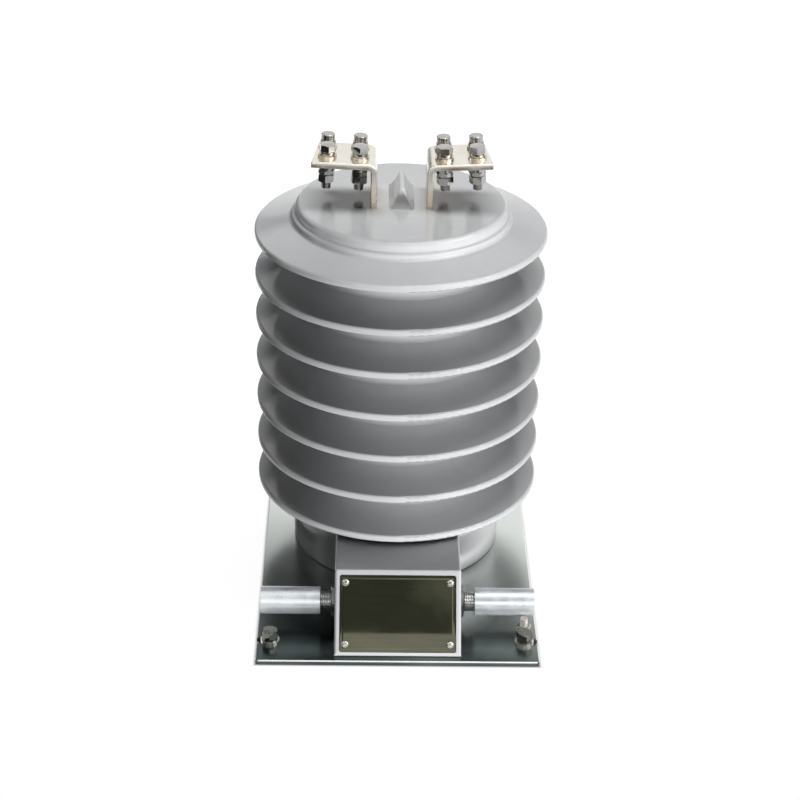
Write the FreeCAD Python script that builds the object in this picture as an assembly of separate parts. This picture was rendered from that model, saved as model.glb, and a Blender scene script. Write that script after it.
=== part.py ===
import FreeCAD, Part
import math
import os

from FreeCAD import Vector

# Outdoor post-type instrument transformer, cast in grey resin, on a steel base plate.
# Millimetres, +Z up. The origin is on the body's axis, at the underside of the base plate.
# The secondary junction block faces -Y and the two primary terminals point to -X and +X.

# Base plate
PLATE_THICK = 6.0
PLATE_WIDTH = 342.0
PLATE_FRONT = 304.0
PLATE_REAR = 186.0
PLATE_CORNER = 6.0
PLATE_EDGE = 1.5
SLOT_WIDTH = 14.0
SLOT_INSET = 16.5
SLOT_FRONT = 263.0
SLOT_REAR = 145.0

# Cast resin body
SHED_COUNT = 7
SHED_RADIUS = 180.0
SHED_PITCH = 56.4
SHED_RIM = 9.0
SHED_SLOPE_DEG = 15.7
SHED_UNDER_DEG = 4.0
LOWEST_SHED_Z = 99.0
CORE_RADIUS = 118.0
FOOT_RADIUS = 134.0
BOSS_STEP = 135.0
BOSS_RADIUS = 129.0
BOSS_ROUND = 13.0
BOSS_HEIGHT = 37.0
RIDGE_HEIGHT = 23.5
RIDGE_WIDTH = 31.0
RIDGE_LENGTH = 80.0
RIDGE_CREST = 54.0
RIDGE_CENTRE_Y = 12.0
RIDGE_CREST_WIDTH = 4.4
RIDGE_SINK = 6.0
RIDGE_ROUND = 1.8

# Junction block in front of the foot
BLOCK_WIDTH = 153.0
BLOCK_FRONT = 299.0
BLOCK_TOP_GAP = 4.0
BLOCK_LEAN_DEG = 37.5
BLOCK_ROUND = 3.5
BLOCK_SINK = 60.0
RIM_WIDTH = 6.0
RIM_FOOT = 7.5
RECESS_DEPTH = 4.0
RECESS_ROUND = 3.0
GASKET_THICK = 1.5
COVER_THICK = 1.5
COVER_PANEL = 0.8
COVER_PANEL_INSET = 4.0
CAVITY_WIDTH = 110.0
CAVITY_MARGIN = 15.5
CAVITY_BACK = 200.0
CAVITY_FLOOR = 10.0
COVER_SCREW_R = 2.5
COVER_SCREW_HEAD_R = 4.6
COVER_SCREW_HEAD_H = 3.0
COVER_SCREW_LENGTH = 16.0
COVER_SCREW_INSET_U = 7.3
COVER_SCREW_INSET_V = 9.5

# Secondary terminals inside the block
BOARD_WIDTH = 98.0
BOARD_HEIGHT = 46.0
BOARD_THICK = 6.0
BOARD_RISE = 4.0
STUD_COUNT = 6
STUD_R = 3.0
STUD_PITCH = 15.0
STUD_RISE = 38.0
STUD_OUT = 20.0
STUD_ROOT = 10.0
STUD_NUT_AF = 10.0
STUD_NUT_H = 5.0
STUD_WASHER_R = 6.0
STUD_WASHER_H = 1.6
LEAD_R = 1.5
LEAD_SETBACK = 30.0

# Conduit outlets on both sides of the block
CONDUIT_Y = -222.0
CONDUIT_Z = 38.0
NIPPLE_R = 12.5
NIPPLE_BORE_R = 9.5
NIPPLE_SHOW = 13.0
NIPPLE_GRIP = 12.0
LOCKNUT_AF = 36.0
LOCKNUT_H = 5.0
PIPE_R = 16.85
PIPE_BORE_R = 13.65
PIPE_END_X = 167.0

# Primary terminal bars
BAR_THICK = 8.0
BAR_DEPTH = 70.0
BAR_CENTRE_Y = 9.0
BAR_INNER_X = 30.0
BAR_RISE = 92.7
BAR_TILT_DEG = 2.5
BAR_END_SKEW = 8.0
BAR_BEND = 3.0
BAR_CORNER = 2.0
BAR_EMBED = 44.0
BOLT_SPACING_X = 39.6
BOLT_SPACING_Y = 34.0
BOLT_END_MARGIN = 19.4
BOLT_CENTRE_Y = 13.0

# Bolts of the terminals and of the base
M12_R = 6.0
M12_AF = 18.0
M12_HEAD = 8.5
M12_NUT = 10.4
M12_THIN_NUT = 6.0
M12_HOLE_R = 6.75
FLAT_WASHER_R = 11.5
FLAT_WASHER_H = 2.9
LOWER_WASHER_R = 10.0
SPRING_WASHER_R = 9.6
SPRING_WASHER_H = 4.6
BOLT_BEYOND_NUT = 8.2
CAP_R = 8.5
CAP_HEIGHT = 9.2
CAP_GROOVE = 0.6
CAP_GROOVE_WIDTH = 1.0
CAP_GROOVE_PITCH = 2.4
BOLT_TIP = 1.2

# Earthing stud beside the right-hand base bolt
EARTH_R = 5.0
EARTH_TOP = 27.0
EARTH_Y = -241.0
EARTH_NUT_AF = 17.0
EARTH_NUT_H = 8.4
EARTH_WASHER_R = 10.0
EARTH_WASHER_H = 2.0

# Screws that hold the body on the plate, and their cast-in sockets
FIX_CIRCLE_R = 95.0
FIX_R = 5.0
FIX_HEAD_R = 9.5
FIX_HEAD_H = 4.5
FIX_DEPTH = 24.0
SOCKET_R = 9.0
SOCKET_H = 30.0

# Active parts sealed in the resin
RING_CENTRE_Z = 200.0
RING_OUTER_R = 78.0
RING_INNER_R = 42.0
RING_WIDTH = 20.0
RING_PITCH = 33.0
WINDING_COVER = 6.0
WINDING_SIDE = 5.0
PRIMARY_THICK = 8.0
PRIMARY_DEPTH = 40.0
PRIMARY_CLEAR = 10.0

X = Vector(1, 0, 0)
Y = Vector(0, 1, 0)
Z = Vector(0, 0, 1)
LEAN = math.radians(BLOCK_LEAN_DEG)
FACE_OUT = Vector(0, -math.cos(LEAN), math.sin(LEAN))
FACE_UP = Vector(0, math.sin(LEAN), math.cos(LEAN))
FACE_FOOT = Vector(0, -BLOCK_FRONT, PLATE_THICK)
HALF_RIM = SHED_RIM / 2
BLOCK_TOP = LOWEST_SHED_Z - HALF_RIM - BLOCK_TOP_GAP
FACE_LENGTH = (BLOCK_TOP - PLATE_THICK) / math.cos(LEAN)
TOP_SHED_Z = LOWEST_SHED_Z + (SHED_COUNT - 1) * SHED_PITCH
BOSS_TOP = TOP_SHED_Z + BOSS_HEIGHT
BAR_TOP_Z = TOP_SHED_Z + BAR_RISE
INNER_BOLT_X = BAR_INNER_X + BAR_THICK + BAR_BEND + LOWER_WASHER_R
BOLT_XS = [INNER_BOLT_X, INNER_BOLT_X + BOLT_SPACING_X]
BAR_OUTER_X = BOLT_XS[1] + BOLT_END_MARGIN
BOLT_YS = [BOLT_CENTRE_Y - BOLT_SPACING_Y / 2, BOLT_CENTRE_Y + BOLT_SPACING_Y / 2]
BASE_BOLT_X = PLATE_WIDTH / 2 - SLOT_INSET
BASE_BOLTS = [
    (-BASE_BOLT_X, -SLOT_FRONT),
    (BASE_BOLT_X, -SLOT_FRONT),
    (-BASE_BOLT_X, SLOT_REAR),
    (BASE_BOLT_X, SLOT_REAR),
]


def cylinder(r, h, base, direction=Z):
    """A plain cylinder from its base centre."""
    return Part.makeCylinder(r, h, base, direction)


def tube(outer, inner, h, base, direction=Z):
    """A ring or pipe with a square-cut end."""
    return cylinder(outer, h, base, direction).cut(cylinder(inner, h, base, direction))


def box(x0, x1, y0, y1, z0, z1):
    """A block between two corners."""
    return Part.makeBox(x1 - x0, y1 - y0, z1 - z0, Vector(x0, y0, z0))


def prism(points, direction):
    """A closed outline swept along a straight line."""
    wire = Part.makePolygon(points + [points[0]])
    return Part.Face(wire).extrude(direction)


def hexagon(across_flats, h, base, turn_deg=0.0, direction=Z):
    """A hexagonal prism standing on its base centre."""
    r = across_flats / 2 / math.cos(math.pi / 6)
    points = []
    for k in range(6):
        a = math.radians(60 * k + turn_deg)
        points.append(Vector(r * math.cos(a), r * math.sin(a), 0))
    shape = prism(points, Vector(0, 0, h))
    shape.Placement = FreeCAD.Placement(base, FreeCAD.Rotation(Z, direction))
    return shape


def chamfered_hexagon(across_flats, h, base, turn_deg, top, bottom, direction=Z):
    """A hexagonal head or nut with its corners turned down at the marked ends."""
    corner = across_flats / 2 / math.cos(math.pi / 6)
    depth = 0.11 * across_flats
    drop = depth * 0.6
    profile = [Vector(0, 0, 0)]
    if bottom:
        profile += [Vector(corner - depth, 0, 0), Vector(corner, 0, drop)]
    else:
        profile += [Vector(corner, 0, 0)]
    if top:
        profile += [Vector(corner, 0, h - drop), Vector(corner - depth, 0, h)]
    else:
        profile += [Vector(corner, 0, h)]
    profile += [Vector(0, 0, h)]
    turned = Part.Face(Part.makePolygon(profile + [profile[0]])).revolve(Vector(0, 0, 0), Z, 360)
    turned.Placement = FreeCAD.Placement(base, FreeCAD.Rotation(Z, direction))
    return hexagon(across_flats, h, base, turn_deg, direction).common(turned)


def pointed_rod(r, length, tip, base, direction=Z):
    """A round shank with a chamfered far end."""
    direction = Vector(direction).normalize()
    body = cylinder(r, length - tip, base, direction)
    cone = Part.makeCone(r, r - tip, tip, base + direction * (length - tip), direction)
    return body.fuse(cone).removeSplitter()


def rounded_outline(corners):
    """A closed wire in the XZ plane through (x, z, radius) corners, each corner rounded."""
    count = len(corners)
    edges = []
    ends = []
    for i in range(count):
        x, z, r = corners[i]
        here = Vector(x, 0, z)
        before = Vector(corners[i - 1][0], 0, corners[i - 1][1]) - here
        after = Vector(corners[(i + 1) % count][0], 0, corners[(i + 1) % count][1]) - here
        if r <= 0:
            ends.append((here, here, None))
            continue
        half = before.getAngle(after) / 2
        reach = r / math.tan(half)
        reach = min(reach, 0.48 * before.Length, 0.48 * after.Length)
        r = reach * math.tan(half)
        u = Vector(before).normalize()
        v = Vector(after).normalize()
        bisector = (u + v).normalize()
        centre = here + bisector * (r / math.sin(half))
        ends.append((here + u * reach, here + v * reach, centre - bisector * r))
    for i in range(count):
        start, stop, middle = ends[i]
        if middle is not None:
            edges.append(Part.Arc(start, middle, stop).toShape())
        following = ends[(i + 1) % count][0]
        if stop.distanceToPoint(following) > 1e-6:
            edges.append(Part.makeLine(stop, following))
    return Part.Wire(edges)


def mirrored_x(shape):
    """The same piece on the other side of the body."""
    return shape.mirror(Vector(0, 0, 0), X)


def face_point(u, v, out):
    """A point u across, v up and out from the junction block's leaning face."""
    return FACE_FOOT + X * u + FACE_UP * v + FACE_OUT * out


def face_slab(width, v0, v1, out0, out1, corner):
    """A rounded rectangle lying parallel to the leaning face."""
    half = width / 2
    outline = [(-half, v0, corner), (half, v0, corner), (half, v1, corner), (-half, v1, corner)]
    wire = rounded_outline(outline)
    slab = Part.Face(wire).extrude(Vector(0, -(out1 - out0), 0))
    slab.translate(Vector(0, -out0, 0))
    slab.rotate(Vector(0, 0, 0), X, -BLOCK_LEAN_DEG)
    slab.translate(FACE_FOOT)
    return slab


def shed_profile():
    """Outline of the turned body: foot, sheds and the raised top, from bottom to top."""
    slope = math.tan(math.radians(SHED_SLOPE_DEG))
    under = math.tan(math.radians(SHED_UNDER_DEG))
    corners = [(0, PLATE_THICK, 0), (FOOT_RADIUS, PLATE_THICK, 2.0)]
    for k in range(SHED_COUNT):
        z = LOWEST_SHED_Z + k * SHED_PITCH
        neck = FOOT_RADIUS if k == 0 else CORE_RADIUS
        corners.append((neck, z - HALF_RIM + (SHED_RADIUS - neck) * under, 9.0))
        corners.append((SHED_RADIUS, z - HALF_RIM, 3.6))
        corners.append((SHED_RADIUS, z + HALF_RIM, 3.6))
        if k < SHED_COUNT - 1:
            corners.append((CORE_RADIUS, z + HALF_RIM + (SHED_RADIUS - CORE_RADIUS) * slope, 14.0))
    root = TOP_SHED_Z + HALF_RIM + (SHED_RADIUS - BOSS_STEP) * slope
    rise = BOSS_TOP - root
    corners.append((BOSS_STEP, root, 5.0))
    corners.append((BOSS_STEP - 0.5, root + 0.32 * rise, 2.5))
    corners.append((BOSS_RADIUS + 1.5, root + 0.42 * rise, 2.5))
    corners.append((BOSS_RADIUS, BOSS_TOP, BOSS_ROUND))
    corners.append((0, BOSS_TOP, 0))
    return rounded_outline(corners)


def ridge():
    """The cast barrier between the two terminals: hipped, with sides that flare at the foot."""
    crest_half = RIDGE_CREST_WIDTH / 2
    levels = []
    for share, spread in ((-RIDGE_SINK / RIDGE_HEIGHT, 1.0), (0.0, 1.0), (0.16, 0.74), (0.45, 0.42), (1.0, 0.0)):
        half_x = crest_half + (RIDGE_WIDTH / 2 - crest_half) * spread
        half_y = RIDGE_CREST / 2 + (RIDGE_LENGTH - RIDGE_CREST) / 2 * spread
        levels.append((half_x, half_y, BOSS_TOP + share * RIDGE_HEIGHT))
    sections = []
    for half_x, half_y, z in levels:
        points = [
            Vector(-half_x, RIDGE_CENTRE_Y - half_y, z),
            Vector(half_x, RIDGE_CENTRE_Y - half_y, z),
            Vector(half_x, RIDGE_CENTRE_Y + half_y, z),
            Vector(-half_x, RIDGE_CENTRE_Y + half_y, z),
        ]
        sections.append(Part.makePolygon(points + [points[0]]))
    foot = Part.makeLoft(sections[:2], True, True)
    flare = Part.makeLoft(sections[1:], True, False)
    upper = [e for e in flare.Edges if e.BoundBox.ZMax > BOSS_TOP + 0.9 * RIDGE_HEIGHT]
    return foot.fuse(flare.makeFillet(RIDGE_ROUND, upper))


def block():
    """The solid junction block, its front leaning back, its front and side edges rounded."""
    back = BLOCK_SINK - FOOT_RADIUS
    top_front = FACE_FOOT + FACE_UP * FACE_LENGTH
    half = BLOCK_WIDTH / 2
    points = [
        Vector(-half, -BLOCK_FRONT, PLATE_THICK),
        Vector(-half, top_front.y, BLOCK_TOP),
        Vector(-half, back, BLOCK_TOP),
        Vector(-half, back, PLATE_THICK),
    ]
    shape = prism(points, Vector(BLOCK_WIDTH, 0, 0))
    rounded = []
    for edge in shape.Edges:
        middle = edge.CenterOfMass
        front = middle.y < top_front.y + 1
        side_top = abs(middle.z - BLOCK_TOP) < 0.1 and abs(abs(middle.x) - half) < 0.1
        if front or side_top:
            rounded.append(edge)
    return shape.makeFillet(BLOCK_ROUND, rounded)


def cavity():
    """The wiring space inside the junction block, open at the leaning face."""
    low = FACE_FOOT + FACE_UP * (RIM_FOOT + CAVITY_MARGIN) - FACE_OUT * RECESS_DEPTH
    high = FACE_FOOT + FACE_UP * (FACE_LENGTH - RIM_WIDTH - CAVITY_MARGIN) - FACE_OUT * RECESS_DEPTH
    floor = PLATE_THICK + CAVITY_FLOOR
    half = CAVITY_WIDTH / 2
    points = [
        Vector(-half, low.y, low.z),
        Vector(-half, high.y, high.z),
        Vector(-half, -CAVITY_BACK, high.z),
        Vector(-half, -CAVITY_BACK, floor),
        Vector(-half, low.y + 4, floor),
    ]
    return prism(points, Vector(CAVITY_WIDTH, 0, 0))


def recess():
    """The shallow seat of the cover inside the block's rim."""
    width = BLOCK_WIDTH - 2 * RIM_WIDTH
    return face_slab(width, RIM_FOOT, FACE_LENGTH - RIM_WIDTH, -RECESS_DEPTH, 5.0, RECESS_ROUND)


def cover_screw_points():
    """Centres of the cover screws on the leaning face, as (u, v)."""
    half = BLOCK_WIDTH / 2 - RIM_WIDTH - COVER_SCREW_INSET_U
    low = RIM_FOOT + COVER_SCREW_INSET_V
    high = FACE_LENGTH - RIM_WIDTH - COVER_SCREW_INSET_V
    return [(u, v) for u in (-half, half) for v in (low, high)]


def cover_holes():
    """Round openings for the cover screws through cover and gasket."""
    holes = []
    for u, v in cover_screw_points():
        holes.append(cylinder(COVER_SCREW_R, RECESS_DEPTH + 4, face_point(u, v, -RECESS_DEPTH), FACE_OUT))
    return Part.makeCompound(holes)


def gasket():
    """The flat rubber frame under the cover."""
    width = BLOCK_WIDTH - 2 * RIM_WIDTH
    high = FACE_LENGTH - RIM_WIDTH
    ring = face_slab(width, RIM_FOOT, high, -RECESS_DEPTH, GASKET_THICK - RECESS_DEPTH, RECESS_ROUND)
    opening = face_slab(
        CAVITY_WIDTH, RIM_FOOT + CAVITY_MARGIN, high - CAVITY_MARGIN,
        -RECESS_DEPTH - 1, GASKET_THICK - RECESS_DEPTH + 1, 0.0,
    )
    return ring.cut(opening).cut(cover_holes())


def cover():
    """The sheet metal cover with its shallow raised panel."""
    width = BLOCK_WIDTH - 2 * RIM_WIDTH - 1.0
    low = RIM_FOOT + 0.5
    high = FACE_LENGTH - RIM_WIDTH - 0.5
    seat = GASKET_THICK - RECESS_DEPTH
    sheet = face_slab(width, low, high, seat, seat + COVER_THICK, RECESS_ROUND - 0.5)
    inset = COVER_PANEL_INSET
    top = seat + COVER_THICK
    panel = face_slab(width - 2 * inset, low + inset, high - inset, top - 0.5, top + COVER_PANEL, 2.0)
    return sheet.fuse(panel).removeSplitter().cut(cover_holes())


def cover_screws():
    """Pan head screws, threaded into the resin."""
    seat = GASKET_THICK + COVER_THICK + COVER_PANEL - RECESS_DEPTH
    screws = []
    for u, v in cover_screw_points():
        head = cylinder(COVER_SCREW_HEAD_R, COVER_SCREW_HEAD_H, face_point(u, v, seat), FACE_OUT)
        rim = [
            e for e in head.Edges
            if (e.CenterOfMass - face_point(u, v, seat + COVER_SCREW_HEAD_H)).Length < 0.1
        ]
        head = head.makeFillet(COVER_SCREW_HEAD_H * 0.7, rim)
        start = face_point(u, v, seat - COVER_SCREW_LENGTH)
        shank = cylinder(COVER_SCREW_R, COVER_SCREW_LENGTH, start, FACE_OUT)
        screws.append(head.fuse(shank).removeSplitter())
    return screws


def stud_xs():
    """Positions of the secondary studs across the board."""
    return [(k - (STUD_COUNT - 1) / 2) * STUD_PITCH for k in range(STUD_COUNT)]


STUD_Z = PLATE_THICK + CAVITY_FLOOR + STUD_RISE
BOARD_FACE_Y = -CAVITY_BACK - BOARD_THICK


def terminal_board():
    """The insulating board on the cavity's back wall."""
    low = PLATE_THICK + CAVITY_FLOOR + BOARD_RISE
    half = BOARD_WIDTH / 2
    board = box(-half, half, BOARD_FACE_Y, -CAVITY_BACK, low, low + BOARD_HEIGHT)
    for x in stud_xs():
        board = board.cut(cylinder(STUD_R, BOARD_THICK, Vector(x, -CAVITY_BACK, STUD_Z), -Y))
    return board


def secondary_studs():
    """Brass studs cast into the resin behind the board."""
    length = STUD_ROOT + BOARD_THICK + STUD_OUT
    start = -CAVITY_BACK + STUD_ROOT
    return [pointed_rod(STUD_R, length, 0.6, Vector(x, start, STUD_Z), -Y) for x in stud_xs()]


def secondary_washers():
    """Flat washers on the secondary studs."""
    return [
        tube(STUD_WASHER_R, STUD_R, STUD_WASHER_H, Vector(x, BOARD_FACE_Y, STUD_Z), -Y)
        for x in stud_xs()
    ]


def secondary_nuts():
    """Hexagon nuts on the secondary studs."""
    nuts = []
    for x in stud_xs():
        base = Vector(x, BOARD_FACE_Y - STUD_WASHER_H, STUD_Z)
        nut = chamfered_hexagon(STUD_NUT_AF, STUD_NUT_H, base, 0.0, True, True, -Y)
        nuts.append(nut.cut(cylinder(STUD_R, STUD_NUT_H, base, -Y)))
    return nuts


def nipple():
    """The threaded tube that joins the right-hand conduit to the block."""
    inner = CAVITY_WIDTH / 2
    outer = BLOCK_WIDTH / 2 + LOCKNUT_H + NIPPLE_SHOW + NIPPLE_GRIP
    base = Vector(inner, CONDUIT_Y, CONDUIT_Z)
    return tube(NIPPLE_R, NIPPLE_BORE_R, outer - inner, base, X)


def locknut():
    """The hexagon locknut against the block's right side."""
    base = Vector(BLOCK_WIDTH / 2, CONDUIT_Y, CONDUIT_Z)
    nut = chamfered_hexagon(LOCKNUT_AF, LOCKNUT_H, base, 10.0, True, False, X)
    return nut.cut(cylinder(NIPPLE_R, LOCKNUT_H, base, X))


def conduit_pipe():
    """The right-hand conduit pipe, screwed over the nipple and cut square."""
    start = BLOCK_WIDTH / 2 + LOCKNUT_H + NIPPLE_SHOW
    length = PIPE_END_X - start
    pipe = cylinder(PIPE_R, length, Vector(start, CONDUIT_Y, CONDUIT_Z), X)
    pipe = pipe.cut(cylinder(NIPPLE_R, NIPPLE_GRIP, Vector(start, CONDUIT_Y, CONDUIT_Z), X))
    bored = start + NIPPLE_GRIP
    bore = cylinder(PIPE_BORE_R, PIPE_END_X - bored, Vector(bored, CONDUIT_Y, CONDUIT_Z), X)
    return pipe.cut(bore)


def on_pad(shape, side):
    """A piece turned with the terminal's pad, which rises a little towards its outer end."""
    shape.rotate(Vector(side * BAR_INNER_X, 0, BAR_TOP_Z), Y, -side * BAR_TILT_DEG)
    return shape


def terminal_bar():
    """The right-hand terminal: a flat bar bent over outwards, its foot cast in the resin."""
    foot = BOSS_TOP - BAR_EMBED
    under = BAR_TOP_Z - BAR_THICK
    inner = BAR_INNER_X + BAR_THICK
    tilt = math.radians(BAR_TILT_DEG)
    slope = math.tan(tilt)
    rise = slope * (BAR_OUTER_X - BAR_INNER_X)
    low = BAR_TOP_Z - BAR_THICK / math.cos(tilt)
    end_x = BAR_OUTER_X - BAR_THICK * math.sin(tilt)
    outline = [
        (BAR_INNER_X, foot, 0),
        (inner, foot, 0),
        (inner, low + slope * BAR_THICK, BAR_BEND),
        (BAR_OUTER_X, low + rise, 0),
        (end_x, BAR_TOP_Z + slope * (end_x - BAR_INNER_X), 0),
        (BAR_INNER_X, BAR_TOP_Z, BAR_BEND + BAR_THICK),
    ]
    front = BAR_CENTRE_Y - BAR_DEPTH / 2
    bar = Part.Face(rounded_outline(outline)).extrude(Vector(0, BAR_DEPTH, 0))
    bar.translate(Vector(0, front, 0))
    wedge = prism(
        [
            Vector(BAR_OUTER_X + 1, front, under - 1),
            Vector(BAR_OUTER_X + 1, front + BAR_DEPTH, under - 1),
            Vector(BAR_OUTER_X - BAR_END_SKEW, front + BAR_DEPTH, under - 1),
        ],
        Vector(0, 0, BAR_THICK + rise + 2),
    )
    bar = bar.cut(wedge)
    for x in BOLT_XS:
        for y in BOLT_YS:
            bar = bar.cut(on_pad(cylinder(M12_HOLE_R, BAR_THICK + 2, Vector(x, y, under - 1)), 1))
    return bar


# Each terminal fastener as (x, y, turn of its head, turn of its nut).
TERMINAL_BOLTS = []
TURNS = {-1: ((28.0, 33.0), (39.0, 18.0)), 1: ((3.0, 42.0), (26.0, 48.0))}
for side in (-1, 1):
    for column, x in enumerate(BOLT_XS):
        head_turn, nut_turn = TURNS[side][column]
        for row, y in enumerate(BOLT_YS):
            TERMINAL_BOLTS.append((side * x, y, head_turn, nut_turn + 9.0 * row))

STACK = FLAT_WASHER_H + SPRING_WASHER_H


SEAT_Z = BAR_TOP_Z + STACK
NUT_TOP_Z = BAR_TOP_Z - BAR_THICK - STACK
BOLT_END_Z = NUT_TOP_Z - M12_THIN_NUT - M12_NUT - BOLT_BEYOND_NUT


def terminal_bolts():
    """Hexagon bolts through the front holes of the terminal pads, heads up."""
    bolts = []
    for x, y, head_turn, _ in TERMINAL_BOLTS:
        if y == BOLT_YS[0]:
            seat = Vector(x, y, SEAT_Z)
            head = chamfered_hexagon(M12_AF, M12_HEAD, seat, head_turn, True, False)
            shank = pointed_rod(M12_R, SEAT_Z - BOLT_END_Z, BOLT_TIP, seat, -Z)
            bolts.append(on_pad(head.fuse(shank).removeSplitter(), math.copysign(1, x)))
    return bolts


def terminal_cap_screws():
    """Screws with round grooved heads through the rear holes of the terminal pads."""
    screws = []
    for x, y, _, _ in TERMINAL_BOLTS:
        if y == BOLT_YS[1]:
            seat = Vector(x, y, SEAT_Z)
            head = pointed_rod(CAP_R, CAP_HEIGHT, 0.8, seat, Z)
            for k in range(3):
                base = seat + Z * (1.4 + k * CAP_GROOVE_PITCH)
                head = head.cut(tube(CAP_R + 1, CAP_R - CAP_GROOVE, CAP_GROOVE_WIDTH, base))
            shank = pointed_rod(M12_R, SEAT_Z - BOLT_END_Z, BOLT_TIP, seat, -Z)
            screws.append(on_pad(head.fuse(shank).removeSplitter(), math.copysign(1, x)))
    return screws


def pad_nuts(top_z, height, extra_turn):
    """One hexagon nut on each terminal fastener, its upper face at a given height."""
    nuts = []
    for x, y, _, nut_turn in TERMINAL_BOLTS:
        base = Vector(x, y, top_z - height)
        nut = chamfered_hexagon(M12_AF, height, base, nut_turn + extra_turn, True, True)
        nuts.append(on_pad(nut.cut(cylinder(M12_R, height, base)), math.copysign(1, x)))
    return nuts


def terminal_thin_nuts():
    """Thin nuts under the terminal pads' spring washers."""
    return pad_nuts(NUT_TOP_Z, M12_THIN_NUT, 0.0)


def terminal_nuts():
    """Full nuts that lock the thin ones."""
    return pad_nuts(NUT_TOP_Z - M12_THIN_NUT, M12_NUT, 6.0)


def terminal_flat_washers():
    """Flat washers above and below each terminal pad."""
    washers = []
    for x, y, _, _ in TERMINAL_BOLTS:
        low = BAR_TOP_Z - BAR_THICK - FLAT_WASHER_H
        for r, z in ((FLAT_WASHER_R, BAR_TOP_Z), (LOWER_WASHER_R, low)):
            washer = tube(r, M12_R, FLAT_WASHER_H, Vector(x, y, z))
            washers.append(on_pad(washer, math.copysign(1, x)))
    return washers


def spring_washer(base, turn_deg):
    """A spring lock washer with its slanted split."""
    ring = tube(SPRING_WASHER_R, M12_R, SPRING_WASHER_H, base)
    gap = Part.makeBox(SPRING_WASHER_R + 1, 1.2, 4 * SPRING_WASHER_H)
    gap.translate(Vector(0, -0.6, -2 * SPRING_WASHER_H))
    gap.rotate(Vector(0, 0, 0), X, 25)
    gap.rotate(Vector(0, 0, 0), Z, turn_deg)
    gap.translate(base + Z * (SPRING_WASHER_H / 2))
    return ring.cut(gap)


def terminal_spring_washers():
    """Spring washers under each head and above each nut."""
    washers = []
    for x, y, head_turn, nut_turn in TERMINAL_BOLTS:
        side = math.copysign(1, x)
        upper = spring_washer(Vector(x, y, BAR_TOP_Z + FLAT_WASHER_H), 40 * head_turn)
        lower = spring_washer(Vector(x, y, BAR_TOP_Z - BAR_THICK - STACK), 50 * nut_turn)
        washers += [on_pad(upper, side), on_pad(lower, side)]
    return washers


def fixing_points():
    """Centres of the screws that hold the body on the plate."""
    reach = FIX_CIRCLE_R / math.sqrt(2)
    return [(sx * reach, sy * reach) for sx in (-1, 1) for sy in (-1, 1)]


def fixing_screws():
    """Countersunk screws, flush with the plate's underside."""
    screws = []
    for x, y in fixing_points():
        head = Part.makeCone(FIX_HEAD_R, FIX_R, FIX_HEAD_H, Vector(x, y, 0))
        shank = cylinder(FIX_R, PLATE_THICK + FIX_DEPTH - FIX_HEAD_H, Vector(x, y, FIX_HEAD_H))
        screws.append(head.fuse(shank).removeSplitter())
    return screws


def body_sockets():
    """Threaded metal sockets cast into the body's foot."""
    sockets = []
    for x, y in fixing_points():
        socket = cylinder(SOCKET_R, SOCKET_H, Vector(x, y, PLATE_THICK))
        sockets.append(socket.cut(cylinder(FIX_R, FIX_DEPTH, Vector(x, y, PLATE_THICK))))
    return sockets


def base_plate():
    """The base plate with its open-ended slots, screw holes and earthing hole."""
    half = PLATE_WIDTH / 2
    plate = box(-half, half, -PLATE_FRONT, PLATE_REAR, 0, PLATE_THICK)
    upright = [e for e in plate.Edges if e.BoundBox.ZLength > PLATE_THICK * 0.9]
    plate = plate.makeFillet(PLATE_CORNER, upright)
    top = [e for e in plate.Edges if e.BoundBox.ZMin > PLATE_THICK - 0.01]
    plate = plate.makeFillet(PLATE_EDGE, top)
    for x, y in BASE_BOLTS:
        way = 1 if x > 0 else -1
        slot = cylinder(SLOT_WIDTH / 2, PLATE_THICK, Vector(x, y, 0))
        mouth_x = sorted((x, x + way * (SLOT_INSET + 5)))
        mouth = box(mouth_x[0], mouth_x[1], y - SLOT_WIDTH / 2, y + SLOT_WIDTH / 2, 0, PLATE_THICK)
        plate = plate.cut(slot.fuse(mouth))
    plate = plate.cut(cylinder(EARTH_R, PLATE_THICK, Vector(BASE_BOLT_X, EARTH_Y, 0)))
    return plate.cut(Part.makeCompound(fixing_screws()))


def base_bolts():
    """Hexagon bolts standing in the plate's slots, ends flush with its underside."""
    bolts = []
    for k, (x, y) in enumerate(BASE_BOLTS):
        seat = PLATE_THICK + STACK
        head = chamfered_hexagon(M12_AF, M12_HEAD, Vector(x, y, seat), 30.0 + 11.0 * k, True, False)
        shank = pointed_rod(M12_R, seat, BOLT_TIP, Vector(x, y, seat), -Z)
        bolts.append(head.fuse(shank).removeSplitter())
    return bolts


def base_flat_washers():
    """Flat washers over the plate's slots."""
    return [tube(FLAT_WASHER_R, M12_R, FLAT_WASHER_H, Vector(x, y, PLATE_THICK)) for x, y in BASE_BOLTS]


def base_spring_washers():
    """Spring washers under the heads of the base bolts."""
    z = PLATE_THICK + FLAT_WASHER_H
    return [spring_washer(Vector(x, y, z), 70.0 * k) for k, (x, y) in enumerate(BASE_BOLTS)]


def earth_stud():
    """The earthing stud fixed in the plate."""
    return pointed_rod(EARTH_R, EARTH_TOP, 1.0, Vector(BASE_BOLT_X, EARTH_Y, 0))


def earth_washer():
    """Flat washer on the earthing stud."""
    return tube(EARTH_WASHER_R, EARTH_R, EARTH_WASHER_H, Vector(BASE_BOLT_X, EARTH_Y, PLATE_THICK))


def earth_nut():
    """Hexagon nut on the earthing stud."""
    base = Vector(BASE_BOLT_X, EARTH_Y, PLATE_THICK + EARTH_WASHER_H)
    nut = chamfered_hexagon(EARTH_NUT_AF, EARTH_NUT_H, base, 12.0, True, True)
    return nut.cut(cylinder(EARTH_R, EARTH_NUT_H, base))


def ring_xs():
    """Centres of the ring cores along the primary bar."""
    return [-RING_PITCH, 0.0, RING_PITCH]


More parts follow.
